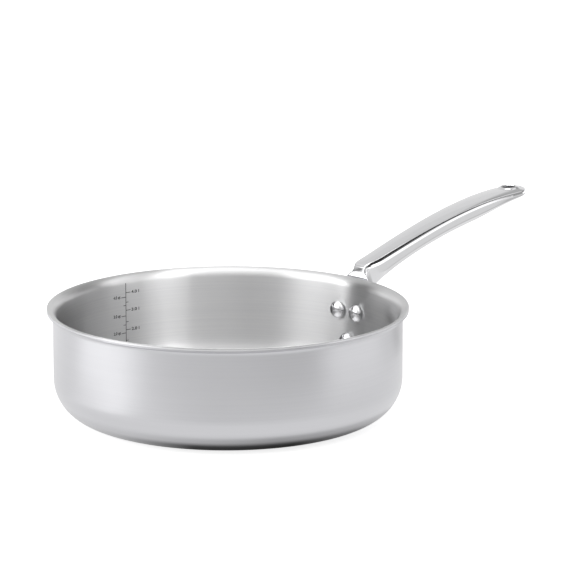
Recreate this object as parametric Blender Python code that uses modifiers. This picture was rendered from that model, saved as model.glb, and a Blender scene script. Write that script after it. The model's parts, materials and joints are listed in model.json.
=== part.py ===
# Saute pan: a spun three-ply body with a flared pouring lip, and a cast handle on three solid rivets.
# Metres, +Z up. The pan's axis is the Z axis, its base stands on Z = 0, and the handle runs out along +X.

import collections
import math

import bmesh
import bpy

# Pan body, measured on its inside surface
PAN_INNER_DIAMETER = 0.280
PAN_HEIGHT = 0.0906
BASE_CORNER_RADIUS = 0.0294
LIP_BEND_RADIUS = 0.0048
LIP_TURN_DEG = 90.0

# The three bonded sheets, inside to outside, and the bond line between them
INNER_PLY_THICKNESS = 0.0005
CORE_PLY_THICKNESS = 0.0013
OUTER_PLY_THICKNESS = 0.0005
BOND_GAP = 0.0003

# Rivets: a domed head inside the pan, and a tail set down on the flange outside
RIVET_HEAD_RADIUS = 0.0074
RIVET_HEAD_HEIGHT = 0.0042
RIVET_HEAD_EDGE = 0.0005
RIVET_SHANK_RADIUS = 0.0031
RIVET_TAIL_RADIUS = 0.0047
RIVET_TAIL_HEIGHT = 0.0021
RIVET_HOLE_CLEARANCE = 0.0003
RIVET_PAIR_SPACING = 0.0217
RIVET_ROW_SPACING = 0.0261
UPPER_RIVETS_BELOW_RIM = 0.0280

# Flange: the curved pad that the rivets draw against the wall
FLANGE_THICKNESS = 0.0032
FLANGE_MARGIN = 0.0095
SEAT_GAP = 0.0003

# Neck: a plate that rises from the flange past the lip, backed by a rib that grows into the grip
NECK_LIP_CLEARANCE = 0.0040
NECK_TOP_ABOVE_RIVETS = 0.0070
NECK_FOOT_ABOVE_RIVET = 0.0088
NECK_PLATE_THICKNESS = 0.0050
NECK_ROOT_HALF_WIDTH = 0.0170
RIB_HALF_WIDTH = 0.0050
FLANGE_BITE = 0.45

# Neck sections from the flange to the grip. Front and back say how far each edge has gone, out and up, on
# its way to the lip's clearance and to the grip. The last four are shares of the plate's and rib's sizes
NeckRow = collections.namedtuple("NeckRow", "front_out front_up back_out back_up width plate rib foot")
NECK_ROWS = [
    NeckRow(0.00, 0.00, 0.00, 0.000, 1.000, 1.4, 1.15, 1.00),
    NeckRow(0.53, 0.16, 0.19, 0.200, 0.940, 1.2, 1.00, 0.80),
    NeckRow(0.91, 0.39, 0.40, 0.440, 0.900, 1.0, 1.00, 0.80),
    NeckRow(1.00, 0.58, 0.56, 0.630, 0.820, 1.0, 1.30, 0.85),
    NeckRow(1.02, 0.72, 0.68, 0.755, 0.450, 1.3, 1.50, 0.90),
    NeckRow(1.20, 0.85, 0.79, 0.850, 0.420, 1.6, 1.50, 0.90),
    NeckRow(1.75, 0.94, 0.90, 0.928, 0.475, 1.9, 1.55, 0.90),
]

# Grip: its top line is one Bezier curve from the neck to the tip, with each handle a share of the grip's run
GRIP_START_OUT = 0.0221
GRIP_START_RISE = 0.0132
GRIP_START_SLOPE_DEG = 16.8
START_PULL = 0.282
HANDLE_REACH = 0.2146
TIP_RISE = 0.0496
TIP_SLOPE_DEG = -2.8
TIP_PULL = 0.334
GRIP_START_HALF_WIDTH = 0.0088
GRIP_END_HALF_WIDTH = 0.0138
GRIP_THICKNESS = 0.0152
GRIP_ROOT_SWELL = 0.0060
GRIP_TIP_THICKNESS = 0.0068
GRIP_END_ROUND = 0.0138
GRIP_SHOULDER_RADIUS = 0.0024

# Hanging eye near the tip, with a low raised rim around it
EYE_HALF_LENGTH = 0.0068
EYE_HALF_WIDTH = 0.0056
EYE_FROM_TIP = 0.0158
EYE_RIM_WIDTH = 0.0012
EYE_RIM_FLANK = 0.0026
EYE_RIM_HEIGHT = 0.0011

# Shares of the grip's own width, thickness and length that give the cast section its character
CROWN_SHARE = 0.12
NECK_CROWN_SHARE = 0.036
RIDGE_DEPTH_SHARE = 0.66
RIDGE_WIDTH_SHARE = 0.94
SOLE_WIDTH_SHARE = 0.52
WIDEST_AT = 0.87
THINNING_START = 0.62
THINNING_END = 1.08
NOSE_SHARE = 0.82

# Facets
BODY_STEPS = 72
CORNER_STEPS = 5
LIP_STEPS = 4
RIVET_STEPS = 24
NECK_STEPS_PER_SPAN = 2
GRIP_STEPS = 13
END_STEPS = 6
EYE_STEPS = 28

inner_radius = PAN_INNER_DIAMETER / 2
wall = INNER_PLY_THICKNESS + CORE_PLY_THICKNESS + OUTER_PLY_THICKNESS + 2 * BOND_GAP
outer_radius = inner_radius + wall
facet = 2 * math.pi / BODY_STEPS
flange_inner_radius = outer_radius + SEAT_GAP
flange_outer_radius = flange_inner_radius + FLANGE_THICKNESS
upper_rivet_z = PAN_HEIGHT - UPPER_RIVETS_BELOW_RIM
lower_rivet_z = upper_rivet_z - RIVET_ROW_SPACING
pair_angle = math.asin(RIVET_PAIR_SPACING / 2 / outer_radius)
Station = collections.namedtuple(
    "Station", "top_x top_z sole_x sole_z half crown ridge_drop ridge_half sole_half"
)
rivets = {
    "rivet_upper_left": (pair_angle, upper_rivet_z),
    "rivet_upper_right": (-pair_angle, upper_rivet_z),
    "rivet_lower": (0.0, lower_rivet_z),
}


def arc(centre_x, centre_y, radius, start_deg, end_deg, steps):
    """Points along a circular arc, both ends included."""
    points = []
    for i in range(steps + 1):
        angle = math.radians(start_deg + (end_deg - start_deg) * i / steps)
        points.append((centre_x + radius * math.cos(angle), centre_y + radius * math.sin(angle)))
    return points


def new_collection(name):
    collection = bpy.data.collections.new(name)
    bpy.context.scene.collection.children.link(collection)
    return collection


def new_object(name, mesh, collection):
    obj = bpy.data.objects.new(name, mesh)
    collection.objects.link(obj)
    return obj


def make_material(name, colour, roughness, metallic=1.0):
    material = bpy.data.materials.new(name)
    material.use_nodes = True
    shader = material.node_tree.nodes["Principled BSDF"]
    shader.inputs["Base Color"].default_value = (*colour, 1.0)
    shader.inputs["Roughness"].default_value = roughness
    shader.inputs["Metallic"].default_value = metallic
    material.diffuse_color = (*colour, 1.0)
    return material


def add_boolean(obj, other, operation):
    modifier = obj.modifiers.new(f"{operation.lower()}_{other.name}", "BOOLEAN")
    modifier.operation = operation
    modifier.solver = "EXACT"
    modifier.object = other


def as_cutter(obj):
    obj.hide_render = True
    obj.display_type = "WIRE"
    return obj


def turned(name, profile, steps, collection):
    """A solid of revolution about its own Z axis. The profile runs over the top and down the outside."""
    mesh = bpy.data.meshes.new(name)
    points = [(x, 0.0, z) for x, z in profile]
    mesh.from_pydata(points, [(i, i + 1) for i in range(len(points) - 1)], [])
    obj = new_object(name, mesh, collection)
    screw = obj.modifiers.new("turn", "SCREW")
    screw.axis = "Z"
    screw.steps = steps
    screw.render_steps = steps
    screw.use_merge_vertices = True
    screw.merge_threshold = 0.00001
    screw.use_smooth_shade = True
    return obj


def extruded(name, points, push, collection):
    """A prism from a closed outline of 3D points and the vector that it is pushed along."""
    mesh = bpy.data.meshes.new(name)
    bm = bmesh.new()
    face = bm.faces.new([bm.verts.new(p) for p in points])
    pushed = bmesh.ops.extrude_face_region(bm, geom=[face])
    moved = [item for item in pushed["geom"] if isinstance(item, bmesh.types.BMVert)]
    bmesh.ops.translate(bm, verts=moved, vec=push)
    bmesh.ops.recalc_face_normals(bm, faces=bm.faces)
    bm.to_mesh(mesh)
    bm.free()
    return new_object(name, mesh, collection)


def body_surface(depth):
    """Half section of the pan's inside surface moved outwards by depth: base, corner, wall and lip."""
    corner_x = inner_radius - BASE_CORNER_RADIUS
    corner_z = wall + BASE_CORNER_RADIUS
    lip_radius = LIP_BEND_RADIUS + wall
    lip_x = inner_radius + lip_radius
    lip_z = PAN_HEIGHT - lip_radius * math.sin(math.radians(LIP_TURN_DEG))
    points = [(0.0, wall - depth)]
    points += arc(corner_x, corner_z, BASE_CORNER_RADIUS + depth, -90, 0, CORNER_STEPS)
    points += arc(lip_x, lip_z, lip_radius - depth, 180, 180 - LIP_TURN_DEG, LIP_STEPS)
    return points


def inside_radius_at(z):
    """Radius of the pan's inside surface at a height on the wall or its base corner."""
    below_wall = wall + BASE_CORNER_RADIUS - z
    if below_wall <= 0:
        return inner_radius
    return inner_radius - BASE_CORNER_RADIUS + math.sqrt(BASE_CORNER_RADIUS**2 - below_wall**2)


def make_ply(name, depth, thickness, collection):
    """One sheet of the bonded body, between two surfaces parallel to the pan's inside."""
    profile = body_surface(depth) + body_surface(depth + thickness)[::-1]
    return turned(name, profile, BODY_STEPS, collection)


def rivet_head_seat(z):
    """Distance from the pan's axis of the flat under a rivet's head, which clears the hollow of the wall."""
    at_sides = math.sqrt((inside_radius_at(z) * math.cos(facet / 2) - SEAT_GAP) ** 2 - RIVET_HEAD_RADIUS**2)
    at_foot = inside_radius_at(z - RIVET_HEAD_RADIUS) * math.cos(facet / 2) - SEAT_GAP
    return min(at_sides, at_foot)


def place_on_wall(obj, angle, z):
    """Turns an object's own Z axis to point in at the pan's axis, at an angle and height on the wall."""
    obj.rotation_euler = (0.0, -math.pi / 2, angle)
    obj.location = (0.0, 0.0, z)


def make_rivet(name, angle, z, collection):
    """Outwards is its own minus Z, so that every length along it is a distance from the pan's axis."""
    head = -rivet_head_seat(z)
    tail = -(flange_outer_radius + SEAT_GAP)
    dome = arc(0.0, 0.0, 1.0, 90, 0, 6)
    crown = head + RIVET_HEAD_EDGE
    profile = [(x * RIVET_HEAD_RADIUS, crown + y * RIVET_HEAD_HEIGHT) for x, y in dome]
    profile.append((RIVET_HEAD_RADIUS, head))
    profile.append((RIVET_SHANK_RADIUS, head))
    profile.append((RIVET_SHANK_RADIUS, tail))
    profile += [(x * RIVET_TAIL_RADIUS, tail - (1 - y) * RIVET_TAIL_HEIGHT) for x, y in tail_outline()]
    rivet = turned(name, profile, RIVET_STEPS, collection)
    place_on_wall(rivet, angle, z)
    return rivet


def tail_outline():
    """Set-down end of a rivet as shares of its radius and height: a short straight rim, then a low dome."""
    return [(1.0, 1.0), (1.0, 0.75), (0.88, 0.35), (0.6, 0.08), (0.0, 0.0)]


def make_rivet_drill(name, angle, z, collection):
    """Cutter for a rivet's hole, stepped to spot-face the casting around the rivet's tail."""
    hole = RIVET_SHANK_RADIUS + RIVET_HOLE_CLEARANCE
    spot = RIVET_TAIL_RADIUS + RIVET_HOLE_CLEARANCE
    near = -(inner_radius - RIVET_HEAD_RADIUS)
    step = -(flange_outer_radius + 0.1 * SEAT_GAP)
    far = -(flange_outer_radius + 2 * RIVET_TAIL_RADIUS)
    profile = [(0.0, near), (hole, near), (hole, step), (spot, step), (spot, far), (0.0, far)]
    drill = turned(name, profile, RIVET_STEPS, collection)
    place_on_wall(drill, angle, z)
    return as_cutter(drill)


def rounded_triangle(corners, radius, steps):
    """Outline around three equal circles, anticlockwise, as a plate is cut round its three holes."""
    points = []
    for i, (y, z) in enumerate(corners):
        before = corners[i - 1]
        after = corners[(i + 1) % 3]
        start = math.degrees(math.atan2(z - before[1], y - before[0])) - 90
        end = math.degrees(math.atan2(after[1] - z, after[0] - y)) - 90
        while end < start:
            end += 360
        points += arc(y, z, radius, start, end, steps)
    return points


def make_flange(collection):
    """Pad curved to the wall, cut to a rounded triangle around the rivets."""
    turn = math.degrees(3 * facet)
    top = upper_rivet_z + 2 * FLANGE_MARGIN
    bottom = lower_rivet_z - 2 * FLANGE_MARGIN
    ring = arc(0.0, 0.0, flange_outer_radius, -turn, turn, 6)
    ring += arc(0.0, 0.0, flange_inner_radius, turn, -turn, 6)
    plate = extruded("flange", [(x, y, bottom) for x, y in ring], (0, 0, top - bottom), collection)
    corners = [(outer_radius * math.sin(angle), z) for angle, z in rivets.values()]
    start = outer_radius - FLANGE_MARGIN
    outline = [(start, y, z) for y, z in rounded_triangle(corners, FLANGE_MARGIN, 5)]
    cutter = extruded("flange_outline", outline, (3 * FLANGE_MARGIN, 0, 0), collection)
    add_boolean(plate, as_cutter(cutter), "INTERSECT")
    return as_cutter(plate)


def bezier(p0, p1, p2, p3, t):
    s = 1 - t
    return tuple(
        s**3 * a + 3 * s * s * t * b + 3 * s * t * t * c + t**3 * d
        for a, b, c, d in zip(p0, p1, p2, p3)
    )


def direction(p, q):
    length = math.hypot(q[0] - p[0], q[1] - p[1])
    return (q[0] - p[0]) / length, (q[1] - p[1]) / length


def smoothstep(low, high, value):
    t = min(max((value - low) / (high - low), 0.0), 1.0)
    return t * t * (3 - 2 * t)


def grip_top(t):
    """Point of the grip's top line. It leaves the neck and reaches the tip at the two named slopes."""
    start = (outer_radius + GRIP_START_OUT, PAN_HEIGHT + GRIP_START_RISE)
    tip = (outer_radius + HANDLE_REACH, PAN_HEIGHT + TIP_RISE)
    pull = (HANDLE_REACH - GRIP_START_OUT) * START_PULL
    push = (HANDLE_REACH - GRIP_START_OUT) * TIP_PULL
    rise = math.radians(GRIP_START_SLOPE_DEG)
    fall = math.radians(TIP_SLOPE_DEG)
    first = (start[0] + pull * math.cos(rise), start[1] + pull * math.sin(rise))
    last = (tip[0] - push * math.cos(fall), tip[1] - push * math.sin(fall))
    return bezier(start, first, last, tip, t)


def grip_thickness(share):
    """Deep at the neck, even along the hand, then thinning to the flat eye."""
    body = GRIP_THICKNESS + GRIP_ROOT_SWELL * (1 - share) ** 6
    return body + (GRIP_TIP_THICKNESS - body) * smoothstep(THINNING_START, THINNING_END, share)


def grip_station(t):
    """One section square to the grip's top line."""
    x, z = grip_top(t)
    along = direction(grip_top(t - 0.001), grip_top(t + 0.001))
    share = (x - outer_radius - GRIP_START_OUT) / (HANDLE_REACH - GRIP_START_OUT)
    widening = min(share / WIDEST_AT, 1.0)
    half = GRIP_START_HALF_WIDTH + (GRIP_END_HALF_WIDTH - GRIP_START_HALF_WIDTH) * widening
    into_end = max((x - outer_radius - HANDLE_REACH + GRIP_END_ROUND) / GRIP_END_ROUND, 0.0)
    rounding = math.sqrt(max(1 - into_end**2, 0.0))
    half *= rounding
    thickness = grip_thickness(share) * (NOSE_SHARE + (1 - NOSE_SHARE) * rounding)
    return Station(
        top_x=x,
        top_z=z,
        sole_x=x + along[1] * thickness,
        sole_z=z - along[0] * thickness,
        half=half,
        crown=CROWN_SHARE * half,
        ridge_drop=RIDGE_DEPTH_SHARE * thickness,
        ridge_half=RIDGE_WIDTH_SHARE * half,
        sole_half=SOLE_WIDTH_SHARE * half,
    )


def neck_stations():
    """Sections from inside the flange to the grip. Each joins a point of the plate to one of the rib."""
    root_x = flange_inner_radius + FLANGE_THICKNESS * FLANGE_BITE
    plate_z = upper_rivet_z + NECK_TOP_ABOVE_RIVETS
    rib_z = lower_rivet_z + NECK_FOOT_ABOVE_RIVET
    grip = grip_station(0.0)
    plate_run = outer_radius + LIP_BEND_RADIUS + NECK_LIP_CLEARANCE - root_x
    stations = []
    for row in NECK_ROWS:
        half = NECK_ROOT_HALF_WIDTH * row.width
        station = Station(
            top_x=root_x + plate_run * row.front_out,
            top_z=plate_z + (grip.top_z - plate_z) * row.front_up,
            sole_x=root_x + (grip.sole_x - root_x) * row.back_out,
            sole_z=rib_z + (grip.sole_z - rib_z) * row.back_up,
            half=half,
            crown=NECK_CROWN_SHARE * half,
            ridge_drop=NECK_PLATE_THICKNESS * row.plate,
            ridge_half=RIB_HALF_WIDTH * row.rib,
            sole_half=RIB_HALF_WIDTH * row.foot,
        )
        stations.append(station)
    return stations


def smooth_between(stations, steps):
    """Catmull-Rom curve through a list of stations, with the first and last repeated as its end guides."""
    guided = [stations[0]] + stations + [stations[-1]]
    found = []
    for a, b, c, d in zip(guided, guided[1:], guided[2:], guided[3:]):
        for i in range(steps):
            t = i / steps
            row = []
            for p, q, r, s in zip(a, b, c, d):
                curve = 2 * q + (r - p) * t + (2 * p - 5 * q + 4 * r - s) * t**2
                row.append((curve + (3 * q - p - 3 * r + s) * t**3) / 2)
            found.append(Station(*row))
    return found


def section(station):
    """Closed outline of the cast section as (across, down): crown, soft shoulders, ridge and sole."""
    thickness = math.hypot(station.sole_x - station.top_x, station.sole_z - station.top_z)
    shoulder = min(GRIP_SHOULDER_RADIUS, 0.3 * thickness, 0.5 * station.half)
    flat = station.half - shoulder
    side = [(flat * share, station.crown * share**2) for share in (0.35, 0.7)]
    side += arc(flat, station.crown + shoulder, shoulder, -70, 0, 3)
    side.append((station.ridge_half, max(station.ridge_drop, station.crown + 1.3 * shoulder)))
    side.append((station.sole_half * 1.25, thickness * 0.93))
    side.append((station.sole_half * 0.7, thickness))
    left = [(-across, down) for across, down in reversed(side)]
    return [(0.0, 0.0)] + side + left


def skinned(name, rings, collection):
    """Skins a row of rings with the same number of points, and caps both ends."""
    mesh = bpy.data.meshes.new(name)
    bm = bmesh.new()
    rows = [[bm.verts.new(point) for point in ring] for ring in rings]
    for row, after in zip(rows, rows[1:]):
        for i in range(len(row)):
            j = (i + 1) % len(row)
            bm.faces.new((row[i], row[j], after[j], after[i]))
    bm.faces.new(rows[0])
    bm.faces.new(rows[-1])
    bmesh.ops.recalc_face_normals(bm, faces=bm.faces)
    bm.to_mesh(mesh)
    bm.free()
    return new_object(name, mesh, collection)


def section_ring(station):
    """The cast section stood in its place, from the top line down towards the sole."""
    down = direction((station.top_x, station.top_z), (station.sole_x, station.sole_z))
    return [
        (station.top_x + down[0] * depth, across, station.top_z + down[1] * depth)
        for across, depth in section(station)
    ]


def eye_ring(grow, height):
    """Oval around the hanging eye, grown by a margin, at a height square to the grip's top line."""
    centre = outer_radius + HANDLE_REACH - EYE_FROM_TIP
    t = next(i / 1000 for i in range(1001) if grip_top(i / 1000)[0] >= centre)
    x, z = grip_top(t)
    along = direction(grip_top(t - 0.001), grip_top(t + 0.001))
    ring = []
    for i in range(EYE_STEPS):
        angle = 2 * math.pi * i / EYE_STEPS
        run = (EYE_HALF_LENGTH + grow) * math.cos(angle)
        across = (EYE_HALF_WIDTH + grow) * math.sin(angle)
        out = along[0] * run - along[1] * height
        up = along[1] * run + along[0] * height
        ring.append((x + out, across, z + up))
    return ring


def make_eye_rim(collection):
    """Low rim around the eye, with sloping flanks that run down into the grip's top."""
    sunk = -GRIP_TIP_THICKNESS / 2
    foot = EYE_RIM_WIDTH + EYE_RIM_FLANK
    level = -CROWN_SHARE * EYE_HALF_WIDTH
    rings = [eye_ring(foot, sunk), eye_ring(foot, level), eye_ring(EYE_RIM_WIDTH, EYE_RIM_HEIGHT)]
    return as_cutter(skinned("eye_rim", rings, collection))


def make_eye_drill(collection):
    """Cutter for the oval hanging hole, square to the thin end of the grip."""
    rings = [eye_ring(0.0, GRIP_THICKNESS), eye_ring(0.0, -1.5 * GRIP_THICKNESS)]
    return as_cutter(skinned("eye_drill", rings, collection))


def make_handle(parts, cutters, drills):
    """One casting: flange, neck and grip, drilled for its rivets and its hanging eye."""
    end_start = 1 - 1.4 * GRIP_END_ROUND / (HANDLE_REACH - GRIP_START_OUT)
    grip = [grip_station(end_start * i / GRIP_STEPS) for i in range(GRIP_STEPS)]
    for i in range(END_STEPS + 1):
        share = math.sin(math.pi / 2 * i / END_STEPS)
        grip.append(grip_station(end_start + (0.9985 - end_start) * share))
    neck = smooth_between(neck_stations() + grip[:1], NECK_STEPS_PER_SPAN)[:-NECK_STEPS_PER_SPAN]
    handle = skinned("handle", [section_ring(station) for station in neck + grip], parts)
    add_boolean(handle, make_flange(cutters), "UNION")
    add_boolean(handle, make_eye_rim(cutters), "UNION")
    for drill in drills:
        add_boolean(handle, drill, "DIFFERENCE")
    add_boolean(handle, make_eye_drill(cutters), "DIFFERENCE")
    return handle


def shade(obj, material):
    obj.data.materials.append(material)
    if not any(modifier.type == "SCREW" for modifier in obj.modifiers):
        obj.data.shade_smooth()
        obj.data.set_sharp_from_angle(angle=math.radians(40))


def main():
    for obj in list(bpy.data.objects):
        bpy.data.objects.remove(obj, do_unlink=True)
    parts = new_collection("saute_pan")
    cutters = new_collection("cutters")
    drills = [make_rivet_drill(f"{name}_drill", *place, cutters) for name, place in rivets.items()]

    satin_steel = make_material("satin_stainless", (0.62, 0.62, 0.63), 0.38)
    brushed_steel = make_material("brushed_stainless", (0.60, 0.60, 0.61), 0.30)
    aluminium = make_material("core_aluminium", (0.78, 0.78, 0.79), 0.45)
    polished_steel = make_material("polished_stainless", (0.70, 0.70, 0.71), 0.08)
    rivet_steel = make_material("rivet_stainless", (0.68, 0.68, 0.69), 0.10)

    core_depth = INNER_PLY_THICKNESS + BOND_GAP
    outer_depth = core_depth + CORE_PLY_THICKNESS + BOND_GAP
    plies = [
        ("inner_ply", 0.0, INNER_PLY_THICKNESS, brushed_steel),
        ("core_ply", core_depth, CORE_PLY_THICKNESS, aluminium),
        ("outer_ply", outer_depth, OUTER_PLY_THICKNESS, satin_steel),
    ]
    for name, depth, thickness, material in plies:
        ply = make_ply(name, depth, thickness, parts)
        shade(ply, material)
        for drill in drills:
            add_boolean(ply, drill, "DIFFERENCE")

    shade(make_handle(parts, cutters, drills), polished_steel)
    for name, place in rivets.items():
        shade(make_rivet(name, *place, parts), rivet_steel)


main()
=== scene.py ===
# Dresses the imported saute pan: spun clad-steel body, polished cast handle, rivets and fill marks
import json
import math

import bmesh
import bpy
from mathutils import Matrix, Vector

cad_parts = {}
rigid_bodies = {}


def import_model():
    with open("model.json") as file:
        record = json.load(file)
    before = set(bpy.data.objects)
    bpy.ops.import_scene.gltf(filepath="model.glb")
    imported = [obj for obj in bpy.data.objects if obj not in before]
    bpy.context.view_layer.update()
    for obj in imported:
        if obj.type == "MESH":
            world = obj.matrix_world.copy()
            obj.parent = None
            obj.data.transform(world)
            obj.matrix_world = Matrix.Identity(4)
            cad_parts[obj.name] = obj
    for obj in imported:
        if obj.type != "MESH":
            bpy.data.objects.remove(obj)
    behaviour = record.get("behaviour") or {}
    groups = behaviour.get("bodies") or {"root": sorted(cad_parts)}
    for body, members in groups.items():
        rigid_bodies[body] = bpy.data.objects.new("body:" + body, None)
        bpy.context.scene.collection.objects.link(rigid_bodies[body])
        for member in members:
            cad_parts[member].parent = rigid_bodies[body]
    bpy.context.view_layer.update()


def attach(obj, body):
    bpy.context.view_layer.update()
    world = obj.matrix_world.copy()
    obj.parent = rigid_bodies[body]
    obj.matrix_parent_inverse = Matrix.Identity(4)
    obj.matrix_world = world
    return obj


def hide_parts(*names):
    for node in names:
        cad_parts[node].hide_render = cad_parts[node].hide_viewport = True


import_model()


def linear(hexColour):
    # sRGB hex to the linear red, green, blue and alpha that shaders read
    values = [int(hexColour[i:i + 2], 16) / 255 for i in (1, 3, 5)]
    return tuple(v / 12.92 if v <= 0.04045 else ((v + 0.055) / 1.055) ** 2.4 for v in values) + (1.0,)


def addNode(tree, kind, settings=None, inputs=None):
    # inputs holds plain values, or an output socket to link from
    node = tree.nodes.new(kind)
    for name, value in (settings or {}).items():
        setattr(node, name, value)
    for key, value in (inputs or {}).items():
        if isinstance(value, bpy.types.NodeSocket):
            tree.links.new(value, node.inputs[key])
        else:
            node.inputs[key].default_value = value
    return node


def newMaterial(name):
    material = bpy.data.materials.new(name)
    material.use_nodes = True
    material.node_tree.nodes.clear()
    return material, material.node_tree


def fillRamp(node, stops):
    # grey stops, as places from 0 to 1 with their brightness
    ramp = node.color_ramp
    while len(ramp.elements) > 1:
        ramp.elements.remove(ramp.elements[-1])
    ramp.elements[0].position = stops[0][0]
    ramp.elements[0].color = (*[stops[0][1]] * 3, 1.0)
    for place, value in stops[1:]:
        ramp.elements.new(place).color = (value, value, value, 1.0)


def addObject(name, data):
    thing = bpy.data.objects.new(name, data)
    bpy.context.scene.collection.objects.link(thing)
    return thing


def looseObject(name, bm):
    # the bmesh's own object, at the origin, unturned and unscaled
    mesh = bpy.data.meshes.new(name)
    bm.to_mesh(mesh)
    bm.free()
    return addObject(name, mesh)


def faceOutwards(bm):
    # each closed shell on its own, by the sign of its volume
    bmesh.ops.recalc_face_normals(bm, faces=bm.faces)
    left = set(bm.faces)
    while left:
        shell = []
        waiting = [left.pop()]
        while waiting:
            face = waiting.pop()
            shell.append(face)
            near = {other for edge in face.edges for other in edge.link_faces} & left
            left -= near
            waiting += near
        if sum(face.calc_center_median().dot(face.normal) * face.calc_area() for face in shell) < 0:
            bmesh.ops.reverse_faces(bm, faces=shell)


def finished(name, bm, material, smoothAngle=35):
    # a piece of the pan from a bmesh: edges sharper than the angle, in degrees, stay crisp
    faceOutwards(bm)
    piece = looseObject(name, bm)
    piece.data.materials.append(material)
    piece.data.shade_smooth()
    piece.data.set_sharp_from_angle(angle=math.radians(smoothAngle))
    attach(piece, "root")
    return piece


def smoothStep(low, high, value):
    # 0 below low and 1 above high, with an eased rise between
    t = min(max((value - low) / (high - low), 0.0), 1.0)
    return t * t * (3 - 2 * t)


# Where the camera stood, in metres and degrees, with its lens in millimetres
shot = {
    "handleAzimuth": 45.3,      # the handle is turned this far right of straight away from the camera
    "distance": 2.8, "sideways": 0.04655166, "height": 0.74921278,
    "pitch": 12.9033, "lens": 222.63, "sensor": 36.0, "farthest": 50,
}
turn = math.radians(shot["handleAzimuth"])
viewRight = Vector((math.sin(turn), -math.cos(turn), 0))
viewAway = Vector((math.cos(turn), math.sin(turn), 0))


def makeCamera():
    # level from side to side and tipped down, at the photograph's place
    pitch = math.radians(shot["pitch"])
    look = viewAway * math.cos(pitch) - Vector((0, 0, 1)) * math.sin(pitch)
    up = viewRight.cross(look)
    camera = addObject("photoCamera", bpy.data.cameras.new("photoCamera"))
    camera.data.sensor_width = shot["sensor"]
    camera.data.lens = shot["lens"]
    camera.data.clip_end = shot["farthest"]
    camera.matrix_world = Matrix((viewRight, up, -look)).transposed().to_4x4()
    camera.location = viewRight * shot["sideways"] - viewAway * shot["distance"] + Vector((0, 0, shot["height"]))
    bpy.context.scene.camera = camera


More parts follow.
